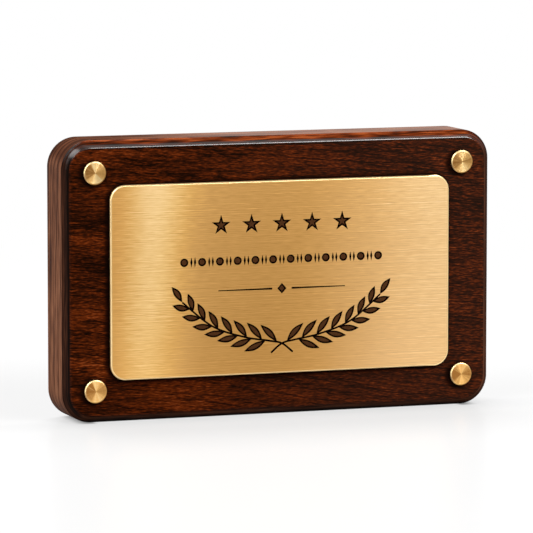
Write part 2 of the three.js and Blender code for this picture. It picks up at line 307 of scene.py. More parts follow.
class Finish(Tree):
    """A material on one Principled shader, with its place on the object in millimetres."""

    def __init__(self, name):
        self.material = bpy.data.materials.new(name)
        self.material.use_nodes = True
        super().__init__(self.material.node_tree)
        self.shader = self.group.nodes["Principled BSDF"]
        place = self.node("ShaderNodeTexCoord", output="Object")
        self.place = self.vector_math("MULTIPLY", place, (1 / MM, 1 / MM, 1 / MM))
        self.x, self.y, self.z = self.split(self.place)
        self.facing = self.node("ShaderNodeNewGeometry", output="Normal")

    def set(self, **sockets):
        """Sets or links sockets of the shader. An underscore stands for a space."""
        for name, value in sockets.items():
            socket = self.shader.inputs[name.replace("_", " ")]
            if isinstance(value, Wire):
                self.group.links.new(value.socket, socket)
            else:
                socket.default_value = value

    def tilted(self, tilt):
        """The surface's normal, leaned over by a vector."""
        return self.vector_math("NORMALIZE", self.vector_math("ADD", self.facing, tilt))


# Rosewood


def rosewood():
    """Streaked dark wood: matt and deep brown in front, lacquered and paler round the edges."""
    wood = Finish("rosewood")
    x, y, z = wood.x, wood.y, wood.z
    side_start = BOARD_FRONT + BEVEL_DEPTH
    face_top = BOARD_HEIGHT - BEVEL_INSET

    # The faces show long grain along x, with dark veins that wander across it. Round the edges
    # the grain runs with the outline, in stripes that lie parallel to the front.
    waver = wood.noise(wood.vector(x / 70, y / 40, z / 24), detail=2) - 0.5
    level = z + x * 0.03 + waver * 2.4
    broad = wood.noise(wood.vector(x / 30, y / 8, level / 6), detail=2) - 0.5
    streaks = wood.noise(wood.vector(x / 19, y / 4, level / 0.6), detail=2, roughness=0.6) - 0.5
    fibres = wood.noise(wood.vector(x / 2.3, y, level / 0.38), detail=1) - 0.5
    pores = wood.step(wood.noise(wood.vector(x / 5, y * 2, level / 0.42), detail=1), 0.56, 0.64)
    slanted = z + x * 0.13 + waver * 9
    figure = wood.noise(wood.vector(x / 80, y / 10, slanted / 3.2), detail=3, roughness=0.6) - 0.5
    veins = 1 - wood.step(figure.math("ABSOLUTE"), 0.004, 0.035)
    calm = wood.step(x, -70, 10)
    face_tone = broad * (0.85 - calm * 0.45) + streaks * 0.55 + fibres - pores * 0.15 - veins * 0.27
    face_tone = face_tone * (1 + wood.step(x, 20, 80) * 0.2 - (1 - wood.step(z, 14, 26)) * 0.18)
    face_tone = face_tone - calm * 0.025 + 0.07 * (1 - calm) * (1 - wood.step(z, 35, 80))

    edge_level = y + (wood.noise(wood.vector(x / 26, y / 5, z / 26), detail=1) - 0.5) * 1.6
    stripes = wood.noise(wood.vector(x / 45, edge_level / 2, z / 45), detail=3, roughness=0.6)
    edge_fibres = wood.noise(wood.vector(x / 9, edge_level / 0.5, z / 9), detail=1)
    grain = (stripes - 0.5) * 1.4 + (edge_fibres - 0.5) * 0.7
    normal_x, normal_y, normal_z = wood.split(wood.facing)
    upward = wood.step(normal_z, 0.15, 0.55)
    leftward = wood.step(normal_x * -1, 0.2, 0.5)
    rightward = wood.step(normal_x, 0.2, 0.5)
    corner = wood.step(normal_x.math("ABSOLUTE"), 0.05, 0.3)
    edge_tone = grain * (1 - corner * upward * 0.35)

    front = 1 - wood.step(y, BOARD_FRONT + 0.2, BOARD_FRONT + 0.6)
    back = wood.step(y, BOARD_BACK - 0.1, BOARD_BACK - 0.02)
    edge = 1 - front - back
    side = edge * wood.step(y, side_start - 0.15, side_start + 0.1)
    lip = 1 - wood.step(y, BOARD_FRONT + 0.6, BOARD_FRONT + 1.2)
    outer = wood.step(y, side_start - 3.2, side_start - 1.4)

    # The bevel is dark, but warm and striped along its upper side, where a painted highlight pales
    # its outer half, less at the far left and not at the corners
    bevel_streaks = wood.noise(wood.vector(x / 12, edge_level / 0.9, z / 12), detail=1) - 0.5
    warm_tone = (edge_tone + (edge_fibres - 0.5) * 0.3 + bevel_streaks * 0.95 - 0.06
                 + outer * (0.24 - corner * 0.26 - 0.1 * (1 - wood.step(x, -84, -58))))
    # Painted shade on the bevel where it doesn't face up. It is darker at its very bottom, and on the
    # left it is darkest at its inner edge, front lip and outer edge. On the right it is darker too,
    # but a painted highlight pales its front lip.
    inner = 1 - wood.step(y, BOARD_FRONT + 0.5, BOARD_FRONT + 3.5)
    outer_bevel_edge = wood.step(y, side_start - 0.8, side_start - 0.3)
    shaded_bevel_tone = (edge_tone * 0.45 - 0.16 - 0.28 * (1 - wood.step(z, 0.5, 2))
                 - leftward * (0.08 + inner * 0.16 + lip * 0.22 + outer_bevel_edge * 0.12)
                 - rightward * (0.09 - lip * 0.16))
    shade = (upward * (corner * 0.12 + (0.24 - corner * 0.14) * (1 - wood.step(x, -90, -20)))
             + (1 - upward) * (0.13 * wood.step(z, 50, 120) - 0.07
                               + 0.13 * (1 - wood.step(z, 2, 16))))
    face_tone = face_tone - front * 0.16 * wood.step(z, face_top - 1.4, face_top - 0.8)
    tone = face_tone * (1 - edge) + warm_tone * edge + 0.5
    dark_wood = wood.ramp(
        tone,
        (0.14, srgb(18, 7, 3)),
        (0.34, srgb(40, 15, 5)),
        (0.52, srgb(66, 25, 7)),
        (0.70, srgb(97, 38, 10)),
        (0.90, srgb(134, 64, 28)))
    light_wood = wood.ramp(
        edge_tone * side - shade * side + shaded_bevel_tone * (1 - side) + 0.5,
        (0, srgb(14, 7, 4)),
        (0.18, srgb(42, 22, 14)),
        (0.40, srgb(80, 46, 30)),
        (0.60, srgb(116, 72, 49)),
        (0.85, srgb(150, 101, 71)))
    shaded_bevel = edge * (1 - side) * (1 - upward)
    colour = wood.blend(side + shaded_bevel, dark_wood, light_wood)
    haze = front * 0.09 * wood.step(x, -70, 90)
    colour = wood.blend(haze, colour, srgb(90, 66, 56))

    # Painted shadow darkens the wood close round the plate and the caps, lying a little to the left
    # of them and below. Both sides of the board are alike, so distances from its middle serve all
    # four caps.
    cap = cap_centre("top_right")
    beside = (x + SHADOW_LEFT).math("ABSOLUTE")
    above = (z + SHADOW_BELOW - BOARD_HEIGHT / 2).math("ABSOLUTE")
    across = (beside - (PLATE_WIDTH / 2 - PLATE_CORNER_RADIUS)).math("MAXIMUM", 0)
    up = (above - (PLATE_HEIGHT / 2 - PLATE_CORNER_RADIUS)).math("MAXIMUM", 0)
    plate_gap = (across * across + up * up) ** 0.5 - PLATE_CORNER_RADIUS
    across = (x + SHADOW_CAP_LEFT).math("ABSOLUTE") - cap.x
    up = above - (cap.z - BOARD_HEIGHT / 2)
    cap_gap = (across * across + up * up) ** 0.5 - SHADOW_CAP_RADIUS
    painted_shadow = front * (1 - wood.step(plate_gap.math("MINIMUM", cap_gap), 0, SHADOW_REACH))
    wood.set(Base_Color=wood.blend(painted_shadow * 0.85, colour, srgb(12, 5, 3)), Roughness=0.5 - tone * 0.15)
    wood.set(Specular_IOR_Level=0)

    # Everything but the front is lacquered, most of all the bevel's inner edge where it faces up
    rounded = wood.step(normal_y, -0.999, -0.96)
    reach = BOARD_FRONT + 0.7 + corner * 0.9
    arris = 1 - wood.step(y, reach, reach + 0.6 - 0.25 * wood.step(x, -15, 25))
    turned = leftward * wood.step(y, side_start - 1.1, side_start - 0.7) * (1 - side)
    lacquer = (0.02 + side * (0.035 - upward * 0.035 + upward * 0.24 * wood.step(x, -75, -5))
               + upward * (arris * (0.8 - corner * 0.58) + turned * 0.35))
    wood.set(Coat_Weight=rounded * lacquer)
    wood.set(Coat_Roughness=0.2, Coat_IOR=2.3)
    bump = wood.node("ShaderNodeBump", None, {
        "Strength": 0.25, "Distance": 0.00004, "Height": tone - pores * 0.6})
    wood.set(Normal=bump)
    return wood.material


# Metals, foam and enamel


def brushed_brass():
    """Brass brushed along x, with painted reflections: upright bands of it are paler."""
    brass = Finish("brushed_brass")
    x, z = brass.x, brass.z

    def scratches(pitch, length, place):
        """Straight lines along x, about 0. Each comes and goes over a length or so."""
        line = brass.noise(brass.vector(place, 0, z / pitch), detail=1) - 0.5
        reach = brass.noise(brass.vector(x / length, place, z / pitch / 2), detail=1)
        return line * brass.step(reach, 0.3, 0.7)

    lines = scratches(0.5, 9, 1) + scratches(0.33, 6, 7)
    hair = brass.noise(brass.vector(x / 5, 0, z / 0.24), detail=1) - 0.5
    # Painted reflections in upright bands: pale a little in from the left end, dimmest left of the
    # middle, paler towards the right end and dark at the far left edge. They are also paler over the
    # upper rows and darker over the lower half, and the bands' edges wander a little.
    band_wobble = brass.noise(brass.vector(x / 30, 0, z / 60), detail=1) - 0.5
    across = x - (z - PLATE_MIDDLE) * 0.05 + band_wobble * 8
    bands = 1 - brass.step(across, -62, -34) * 0.75 - brass.step(across, -50, -8) * 0.25
    bands = bands + 0.82 * brass.step(across, -8, 84) - 0.6 * (1 - brass.step(across, -84, -64))
    bands = bands + 0.14 * brass.step(z, PLATE_MIDDLE + 5, PLATE_HIGH.z)
    bands = bands - 0.16 * (1 - brass.step(z, PLATE_LOW.z, PLATE_MIDDLE))
    right = brass.step(across, 8, 76)
    colour = brass.ramp(
        0.16 + bands * 0.7 + lines * (1.05 + right * 0.5) + hair * 0.35,
        (0, srgb(178, 131, 69)),
        (0.16, srgb(190, 142, 78)),
        (0.40, srgb(205, 156, 90)),
        (0.62, srgb(222, 171, 97)),
        (0.80, srgb(239, 195, 124)),
        (1, srgb(252, 215, 154)))
    # Painted reflection: more orange at the far left, and paler towards the right end
    far_left = 1 - brass.step(across, -84, -60)
    colour = brass.blend(far_left * 0.3, colour, srgb(214, 150, 76))
    colour = brass.blend(right * 0.34, colour, srgb(230, 200, 164))
    brass.set(Base_Color=colour, Metallic=1, Roughness=0.34)
    brass.set(Anisotropic=0.7, Anisotropic_Rotation=0.25)
    brass.set(Normal=brass.tilted(brass.vector(0, 0, lines * 0.15 + hair * 0.15)))
    return brass.material


def polished_brass():
    """The plate's bright rim. It is leaned forward at its right end, where it shows less light."""
    brass = Finish("polished_brass")
    wear = brass.noise(brass.place, scale=0.3, detail=2)
    colour = brass.blend(wear, srgb(250, 212, 148), srgb(255, 226, 172))
    brass.set(Base_Color=colour, Metallic=1, Roughness=0.36 + wear * 0.12)
    lean = brass.step(brass.x, PLATE_RIGHT - 12, PLATE_RIGHT) * -3
    brass.set(Normal=brass.tilted(brass.vector(0, lean, 0)))
    return brass.material


def turned_brass(name, centre):
    """Brass faced on a lathe: fine rings about a centre, which lean the surface in and out, and a
    painted sheen across them that fans out from the centre."""
    brass = Finish(f"turned_brass_{name}")
    across = brass.x - centre.x
    up = brass.z - centre.z
    radius = (across * across + up * up) ** 0.5
    face = 1 - brass.step(radius, *CAP_FACE)
    lean = (radius * (2 * math.pi / RING_PITCH)).math("SINE") * face * RING_LEAN / radius
    # Painted sheen: pale above and below the centre and dark to its sides, in uneven rays, with its
    # lower lobe turned to the right and a dark ray up on the left that is strongest on the left caps
    sheen = (up * up - across * across) / (radius * radius)
    place = brass.vector(across / radius * 3, centre.x + centre.z, up / radius * 3)
    rays = brass.noise(place, detail=2) - 0.5
    rings = brass.noise(brass.vector(radius / 0.3, 5, 1), detail=1) - 0.5
    lower_right = (across / radius * (1 - up / radius) / 2).math("MAXIMUM", -0.25)
    upper_left = brass.step((up * 0.78 - across * 0.63) / radius, 0.95, 0.992)
    dark_ray = upper_left * (0.4 if centre.x < 0 else 0.12)
    face_tone = CAP_PAINTED_LIGHT[name] + sheen * 0.26 + lower_right * 0.28 + rays * 0.9 - dark_ray
    # Painted highlight on the rim: paler up on the left, darker down on the right
    rim_painted_highlight = 0.7 + (up - across) / radius * 0.3
    colour = brass.ramp(
        rim_painted_highlight + face * (face_tone - rim_painted_highlight) + rings * 0.55,
        (0.05, srgb(178, 120, 58)),
        (0.5, srgb(238, 184, 108)),
        (0.95, srgb(255, 225, 164)))

    # The rim is painted darker low on the left as shade, and its wall carries a painted reflection of
    # the dark wood that it stands on, with painted shade at its foot
    turned_away = (1 - face) * brass.step(across / radius * -1, 0.6, 0.9)
    turned_away = turned_away * (1 - brass.step(up / radius, -0.35, 0.2))
    colour = brass.blend(turned_away * 0.6, colour, srgb(136, 84, 40))
    foot = brass.step(brass.y, BOARD_FRONT - 1.4, BOARD_FRONT - 0.7)
    colour = brass.blend(foot * 0.85, colour, srgb(52, 26, 12))
    brass.set(Base_Color=colour, Metallic=1, Roughness=0.42 - face * 0.14)
    glint = (1 - face) * brass.step((up * 0.97 + across * 0.26) / radius, 0.7, 0.97)
    brass.set(Normal=brass.tilted(brass.vector(across * lean, glint * -0.65, up * lean)))
    return brass.material


def zinc_steel():
    """Bright zinc plating, a little clouded, for the screws."""
    steel = Finish("zinc_steel")
    bloom = steel.noise(steel.place, scale=0.9, detail=3)
    colour = steel.blend(bloom, srgb(150, 152, 156), srgb(196, 196, 190))
    steel.set(Base_Color=colour, Metallic=1, Roughness=0.28 + bloom * 0.25)
    return steel.material


def black_foam():
    foam = Finish("black_foam")
    cells = foam.noise(foam.place, scale=6, detail=2)
    foam.set(Base_Color=foam.blend(cells, srgb(6, 6, 6), srgb(26, 26, 27)), Roughness=0.95)
    foam.set(Specular_IOR_Level=0.1)
    bump = foam.node("ShaderNodeBump", None, {"Strength": 0.6, "Distance": 0.0001, "Height": cells})
    foam.set(Normal=bump)
    return foam.material


def burnt_groove():
    """The floor and walls of the engraving, blackened by the cutter."""
    groove = Finish("burnt_groove")
    soot = groove.noise(groove.place, scale=3, detail=2)
    groove.set(Base_Color=groove.blend(soot, srgb(5, 3, 2), srgb(20, 10, 6)), Roughness=0.8)
    groove.set(Specular_IOR_Level=0)
    return groove.material


def brown_enamel():
    enamel = Finish("brown_enamel")
    mottle = enamel.noise(enamel.place, scale=1.4, detail=3)
    enamel.set(Base_Color=enamel.blend(mottle, srgb(54, 31, 16), srgb(90, 57, 33)), Roughness=0.6)
    enamel.set(Specular_IOR_Level=0)
    return enamel.material


# Meshes


def new_piece(name, mesh, *materials):
    """An object at the origin, of a mesh with these materials alone."""
    mesh.name = name
    mesh.materials.clear()
    for material in materials:
        mesh.materials.append(material)
    piece = bpy.data.objects.new(name, mesh)
    scene.collection.objects.link(piece)
    return piece


def applied(piece, *modifiers):
    """Runs modifiers, given as a kind and its settings, on a piece, and keeps the result."""
    for kind, settings in modifiers:
        modifier = piece.modifiers.new(kind.lower(), kind)
        for name, value in settings.items():
            setattr(modifier, name, value)
    depsgraph = bpy.context.evaluated_depsgraph_get()
    old = piece.data
    piece.data = bpy.data.meshes.new_from_object(piece.evaluated_get(depsgraph))
    piece.data.name = piece.name
    piece.modifiers.clear()
    bpy.data.meshes.remove(old)
    return piece


def smoothed(piece):
    """Smooth shading that keeps edges past SHARP_ANGLE, and lets large flat faces stay flat."""
    piece.data.shade_smooth()
    piece.data.set_sharp_from_angle(angle=SHARP_ANGLE)
    return applied(piece, ("WEIGHTED_NORMAL", {"keep_sharp": True, "weight": 100}))


def round_points(radii, start=0):
    """Points round the origin, anticlockwise seen from the front, one at each radius."""
    turns = [start + 2 * math.pi * i / len(radii) for i in range(len(radii))]
    return [(radius * math.cos(turn), radius * math.sin(turn)) for radius, turn in zip(radii, turns)]


def rounded_rectangle(width, height, radius):
    """Points of a rounded rectangle about the origin, anticlockwise seen from the front."""
    points = []
    for quarter, (side, up) in enumerate(((1, 1), (-1, 1), (-1, -1), (1, -1))):
        for step in range(CORNER_STEPS + 1):
            angle = math.pi / 2 * (quarter + step / CORNER_STEPS)
            points.append((side * (width / 2 - radius) + radius * math.cos(angle),
                           up * (height / 2 - radius) + radius * math.sin(angle)))
    return points


def lofted(rings):
    """A closed mesh through rings of points in mm, given from the front to the back."""
    form = bmesh.new()
    loops = [[form.verts.new(Vector(point) * MM) for point in ring] for ring in rings]
    for front, back in zip(loops, loops[1:]):
        for i, corner in enumerate(front):
            form.faces.new((front[i - 1], corner, back[i], back[i - 1]))
    form.faces.new(loops[0])
    form.faces.new(reversed(loops[-1]))
    bmesh.ops.recalc_face_normals(form, faces=form.faces)
    mesh = bpy.data.meshes.new("loft")
    form.to_mesh(mesh)
    form.free()
    return mesh


def slab(width, height, radius, middle, profile):
    """A slab with a rounded rectangular outline, drawn in by an inset at each y."""
    return lofted([
        [(x, y, z + middle)
         for x, z in rounded_rectangle(width - 2 * inset, height - 2 * inset, radius - inset)]
        for inset, y in profile])


def rounded_corners(profile, radii):
    """Rounds each corner of an open profile that is given a radius."""
    points = []
    for i, corner in enumerate(profile):
        if i not in radii:
            points.append(corner)
            continue
        here = Vector(corner)
        before = (Vector(profile[i - 1]) - here).normalized()
        after = (Vector(profile[i + 1]) - here).normalized()
        half = before.angle(after) / 2
        centre = here + (before + after).normalized() * radii[i] / math.sin(half)
        start = here + before * radii[i] / math.tan(half) - centre
        end = here + after * radii[i] / math.tan(half) - centre
        turn = start.angle(end)
        for step in range(ARRIS_STEPS + 1):
            share = step / ARRIS_STEPS
            arm = start * math.sin((1 - share) * turn) + end * math.sin(share * turn)
            points.append(tuple(centre + arm / math.sin(turn)))
    return points


# Board


def board_profile():
    """The board's edge from the front face to the back, as insets and ys. The point beyond each
    end is there only to round the corner beside it."""
    slope = math.hypot(BEVEL_INSET, BEVEL_DEPTH)
    thickness = BOARD_BACK - BOARD_FRONT
    profile = [(BEVEL_INSET + 1, 0)]
    for step in range(BEVEL_STEPS + 1):
        share = step / BEVEL_STEPS
        swell = BEVEL_CROWN * math.sin(math.pi * share)
        profile.append((BEVEL_INSET * (1 - share) - swell * BEVEL_DEPTH / slope,
                        BEVEL_DEPTH * share - swell * BEVEL_INSET / slope))
    profile += [(0, thickness - BACK_ARRIS), (BACK_ARRIS, thickness), (BACK_ARRIS + 1, thickness)]
    radii = {1: FRONT_ARRIS, BEVEL_STEPS + 1: SIDE_ARRIS,
             BEVEL_STEPS + 2: SIDE_ARRIS, BEVEL_STEPS + 3: SIDE_ARRIS}
    return [(inset, BOARD_FRONT + y) for inset, y in rounded_corners(profile, radii)[1:-1]]


def slot_ring(width, travel, y, middle):
    """An upright slot with round ends, down from its upper centre, as one ring of points."""
    ring = []
    for start, fall in ((0, 0), (math.pi, travel)):
        for step in range(CORNER_STEPS + 1):
            angle = start + math.pi * step / CORNER_STEPS
            ring.append((width / 2 * math.cos(angle), y, middle - fall + width / 2 * math.sin(angle)))
    return ring


def round_ring(radius, y, x, z):
    return [(x + across, y, z + up) for across, up in round_points([radius] * ROUND_STEPS)]


def cut_by(piece, cutters):
    """Takes cutter meshes out of a piece. The cut faces keep the cutters' materials."""
    bench = bpy.data.collections.new("bench")
    scene.collection.children.link(bench)
    for mesh in cutters:
        bench.objects.link(bpy.data.objects.new("cutter", mesh))
    applied(piece, ("BOOLEAN", {
        "operation": "DIFFERENCE", "operand_type": "COLLECTION", "collection": bench,
        "solver": "EXACT", "use_self": True, "material_mode": "TRANSFER"}))
    for each in list(bench.objects):
        bpy.data.objects.remove(each)
    bpy.data.collections.remove(bench)
    return piece


def cap_centre(place):
    low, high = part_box(f"cap_{place}")
    return (low + high) / 2 / MM


def rosewood_board(material):
    """The board, with a keyhole slot in its back and a countersunk hole under each cap."""
    blank = slab(BOARD_WIDTH, BOARD_HEIGHT, BOARD_CORNER_RADIUS, BOARD_HEIGHT / 2, board_profile())
    board = new_piece("rosewood_board", blank, material)
    hook = BOARD_HEIGHT - KEYHOLE_DROP
    floor = BOARD_BACK - KEYHOLE_DEPTH
    outside = BOARD_BACK + 1  # clear of the back
    cutters = [
        lofted([round_ring(KEYHOLE_HEAD_WIDTH / 2, y, 0, hook - KEYHOLE_TRAVEL)
                for y in (floor, outside)]),
        lofted([slot_ring(KEYHOLE_NECK_WIDTH, KEYHOLE_TRAVEL, y, hook) for y in (floor, outside)]),
        lofted([slot_ring(KEYHOLE_HEAD_WIDTH, KEYHOLE_TRAVEL, y, hook)
                for y in (floor, BOARD_BACK - KEYHOLE_LIP)]),
    ]
    for place in CAPS:
        centre = cap_centre(place)
        cutters.append(lofted([round_ring(radius, BOARD_FRONT + depth, centre.x, centre.z)
                               for radius, depth in SCREW_HOLE]))
    for mesh in cutters:
        mesh.materials.append(material)
    return smoothed(cut_by(board, cutters))


# Forms grown by Geometry Nodes


def form_tree(name, *inputs):
    """A Geometry Nodes tree with named inputs, and the wires that bring them in."""
    group = bpy.data.node_groups.new(name, "GeometryNodeTree")
    group.interface.new_socket("Geometry", in_out="OUTPUT", socket_type="NodeSocketGeometry")
    group.interface.new_socket("Geometry", in_out="INPUT", socket_type="NodeSocketGeometry")
    for label, kind in inputs:
        group.interface.new_socket(label, in_out="INPUT", socket_type=f"NodeSocket{kind}")
    tree = Tree(group)
    entry = group.nodes.new("NodeGroupInput")
    return tree, [Wire(tree, socket) for socket in entry.outputs if socket.name]


def ended(tree, geometry, material):
    """Closes a tree: its instances are made real, and its material is set."""
    real = tree.node("GeometryNodeRealizeInstances", None, {"Geometry": geometry})
    done = tree.node("GeometryNodeSetMaterial", None, {"Geometry": real, "Material": material})
    tree.group.links.new(done.socket, tree.group.nodes.new("NodeGroupOutput").inputs[0])
    return tree.group


def formed(group, source, **values):
    """The plain mesh that a tree makes of a source mesh, with its inputs set by name."""
    carrier = bpy.data.objects.new("carrier", source)
    scene.collection.objects.link(carrier)
    modifier = carrier.modifiers.new("form", "NODES")
    modifier.node_group = group
    for item in group.interface.items_tree:
        key = item.name.replace(" ", "_").lower()
        if item.in_out == "INPUT" and key in values:
            modifier[item.identifier] = values[key]
    depsgraph = bpy.context.evaluated_depsgraph_get()
    mesh = bpy.data.meshes.new_from_object(carrier.evaluated_get(depsgraph))
    bpy.data.objects.remove(carrier)
    return mesh


def polyline(points):
    """A mesh of edges through points in mm."""
    mesh = bpy.data.meshes.new("line")
    edges = [(i, i + 1) for i in range(len(points) - 1)]
    mesh.from_pydata([Vector(point) * MM for point in points], edges, [])
    return mesh


def flat_shape(points):
    """A mesh of one flat face from (x, z) points in mm, anticlockwise seen from the front."""
    mesh = bpy.data.meshes.new("shape")
    mesh.from_pydata([(x * MM, 0, z * MM) for x, z in points], [], [range(len(points))])
    return mesh


def leaf_face(tree, width, sweep):
    """A flat leaf of length 1 along x, pointed at both ends and bowed to one side."""
    disc = tree.node("GeometryNodeMeshCircle", {"fill_type": "NGON"}, {"Vertices": LEAF_POINTS})
    share = tree.node("GeometryNodeInputIndex") / LEAF_POINTS
    belly = (share * (2 * math.pi)).math("SINE")
    along = 1 - (1 - share * 2).math("ABSOLUTE")
    place = tree.vector(along, 0, belly.math("ABSOLUTE") * sweep - belly * width / 2)
    return tree.node("GeometryNodeSetPosition", None, {"Geometry": disc, "Position": place})


def leaf_row(tree, stem, leaf, count, shares, angles, ease, lengths):
    """Leaves along a stem, between two shares of its length, each turned more than the last."""
    along = tree.node("GeometryNodeInputIndex") / (count - 1)
    share = shares[0] + along * (shares[1] - shares[0])
    foot = tree.node("GeometryNodeSampleCurve", {"mode": "FACTOR"},
                     {"Curves": stem, "Factor": share}, output="Position")
    points = tree.node("GeometryNodePoints", None, {"Count": count, "Position": foot})
    turn = angles[0] + along ** ease * (angles[1] - angles[0])
    length = lengths[0] + along * (lengths[1] - lengths[0])
    return tree.node("GeometryNodeInstanceOnPoints", None, {
        "Points": points, "Instance": leaf,
        "Rotation": tree.vector(0, turn * -math.radians(1), 0), "Scale": tree.vector(length, 1, 1)})


def spray_tree(material, part):
    """Two crossed sprays of laurel, grown along the stem's course: their leaves or their stems."""
    tree, (course, leaves, inner, outer, width, sweep, foot, tip) = form_tree(
        f"laurel_{part}", ("Leaves", "Int"), ("Inner Length", "Float"), ("Outer Length", "Float"),
        ("Leaf Width", "Float"), ("Leaf Sweep", "Float"), ("Foot Width", "Float"),
        ("Tip Width", "Float"))
    stem = tree.node("GeometryNodeMeshToCurve", None, {"Mesh": course})
    stem = tree.node("GeometryNodeCurveSplineType", {"spline_type": "CATMULL_ROM"}, {"Curve": stem})
    stem = tree.node("GeometryNodeSetSplineResolution", None, {"Geometry": stem, "Resolution": 24})
    travel = tree.node("GeometryNodeSplineParameter")
    if part == "leaves":
        crossing = tree.node("GeometryNodeSampleIndex", {"data_type": "FLOAT"},
                             {"Geometry": stem, "Value": travel, "Index": 1})
        rows = [leaf_row(tree, stem, leaf_face(tree, width, sweep), 1, (1, 1),
                         (END_LEAF_ANGLE, END_LEAF_ANGLE), 1, (outer, outer))]
        for side, shares, angles, ease in (UPPER_ROW, LOWER_ROW):
            shares = [crossing + (1 - crossing) * share for share in shares]
            leaf = leaf_face(tree, width, sweep * side)
            rows.append(leaf_row(tree, stem, leaf, leaves, shares, angles, ease, (inner, outer)))
        spray = tree.node("GeometryNodeJoinGeometry", None, {"Geometry": rows})
    else:
        across = tree.node("GeometryNodeCurvePrimitiveLine", None,
                           {"Start": (0, -0.5, 0), "End": (0, 0.5, 0)})
        stem = tree.node("GeometryNodeResampleCurve", None, {"Curve": stem, "Count": STEM_POINTS})
        stem = tree.node("GeometryNodeSetCurveNormal", {"mode": "Z_UP"}, {"Curve": stem})
        spray = tree.node("GeometryNodeCurveToMesh", None, {
            "Curve": stem, "Profile Curve": across, "Scale": foot + travel * (tip - foot)})
    real = tree.node("GeometryNodeRealizeInstances", None, {"Geometry": spray})
    other = tree.node("GeometryNodeTransform", None, {"Geometry": real, "Scale": (-1, 1, 1)})
    pair = tree.node("GeometryNodeJoinGeometry", None, {"Geometry": [real, other]})
    return ended(tree, pair, material)


def row_tree(material):
    """A row of copies of a flat shape, centred on x = 0."""
    tree, (shape, count, pitch, rise) = form_tree(
        "ornament_row", ("Count", "Int"), ("Pitch", "Float"), ("Rise", "Float"))
    start = tree.vector((1 - count) * pitch / 2, 0, rise)
    line = tree.node("GeometryNodeMeshLine", None, {
        "Count": count, "Start Location": start, "Offset": tree.vector(pitch)})
    row = tree.node("GeometryNodeInstanceOnPoints", None, {"Points": line, "Instance": shape})
    return ended(tree, row, material)


def lathe_tree(material):
    """A profile of (radius, y) points turned about an upright centre line along y."""
    tree, (profile, steps, centre) = form_tree(
        "lathe", ("Steps", "Int"), ("Centre", "Vector"))
    rings = tree.node("GeometryNodeAttributeDomainSize", None, {"Geometry": profile})
    around = steps + 1
    sheet = tree.node("GeometryNodeMeshGrid", None, {"Vertices X": rings, "Vertices Y": around})
    index = tree.node("GeometryNodeInputIndex")
    ring = (index / around).math("FLOOR")
    turn = (index - ring * around) * (2 * math.pi) / steps
    point = tree.node("GeometryNodeSampleIndex", {"data_type": "FLOAT_VECTOR"}, {
        "Geometry": profile, "Value": tree.node("GeometryNodeInputPosition"), "Index": ring})
    radius, y, _ = tree.split(point)
    place = tree.vector(radius * turn.math("COSINE"), y, radius * turn.math("SINE"))
    skin = tree.node("GeometryNodeSetPosition", None, {
        "Geometry": sheet, "Position": place, "Offset": centre})
    closed = tree.node("GeometryNodeMergeByDistance", None, {"Geometry": skin, "Distance": WELD})
    return ended(tree, closed, material)


# Engraved plate


def lozenge_points(width, height, x=0, z=0):
    return [(x + width / 2, z), (x, z + height / 2), (x - width / 2, z), (x, z - height / 2)]


def rule_points(side):
    inner, outer = (side * end for end in RULE_ENDS)
    thick, thin = (width / 2 for width in RULE_WIDTHS)
    points = [(inner, -thick), (outer, -thin), (outer, thin), (inner, thick)]
    points = [(x, z - RULE_FALL) for x, z in points]
    return points if side > 0 else points[::-1]


def joined(meshes):
    """One mesh of several, facing the front, in place on the plate's middle."""
    form = bmesh.new()
    for mesh in meshes:
        form.from_mesh(mesh)
    bmesh.ops.remove_doubles(form, verts=form.verts, dist=WELD)
    bmesh.ops.recalc_face_normals(form, faces=form.faces)
    bmesh.ops.reverse_faces(form, faces=[face for face in form.faces if face.normal.y > 0])
    bmesh.ops.translate(form, verts=form.verts, vec=(0, PLATE_FRONT * MM, PLATE_MIDDLE * MM))
    whole = bpy.data.meshes.new("joined")
    form.to_mesh(whole)
    form.free()
    return whole


def engraving(material):
    """The engraving's flat shapes: those that are filled with enamel, and the bare lines."""
    course = [(STEM_REACH * reach, 0, STEM_RISE * rise + CROSSING_RISE - PLATE_HEIGHT / 2)
              for reach, rise in STEM_COURSE]
    sizes = {
        "leaves": LEAVES_A_SIDE, "inner_length": INNER_LEAF_LENGTH * MM,
        "outer_length": OUTER_LEAF_LENGTH * MM, "leaf_width": LEAF_WIDTH * MM,
        "leaf_sweep": LEAF_SWEEP * MM, "foot_width": STEM_FOOT_WIDTH * MM,
        "tip_width": STEM_TIP_WIDTH * MM}
    rows = row_tree(material)
    star = round_points([STAR_RADIUS, STAR_RADIUS * STAR_WAIST] * STAR_ARMS, math.pi / 2)
    bead = round_points([BEAD_DIAMETER / 2] * LEAF_POINTS)
    filled = [
        formed(spray_tree(material, "leaves"), polyline(course), **sizes),
        formed(rows, flat_shape(star),
               count=STAR_COUNT, pitch=STAR_PITCH * MM, rise=STAR_RISE * MM),
        formed(rows, flat_shape(bead),
               count=BEAD_COUNT, pitch=BEAD_PITCH * MM, rise=BEAD_RISE * MM),
        flat_shape(lozenge_points(*LOZENGE, z=-RULE_FALL)),
    ]
    lines = [formed(spray_tree(material, "stems"), polyline(course), **sizes)]
    lines += [flat_shape(rule_points(side)) for side in (1, -1)]
    lines += [formed(rows, flat_shape(lozenge_points(*REEL, x=side * REEL_SPACING / 2)),
                     count=BEAD_COUNT - 1, pitch=BEAD_PITCH * MM, rise=BEAD_RISE * MM)
              for side in (1, -1)]
    return joined(filled), joined(lines)


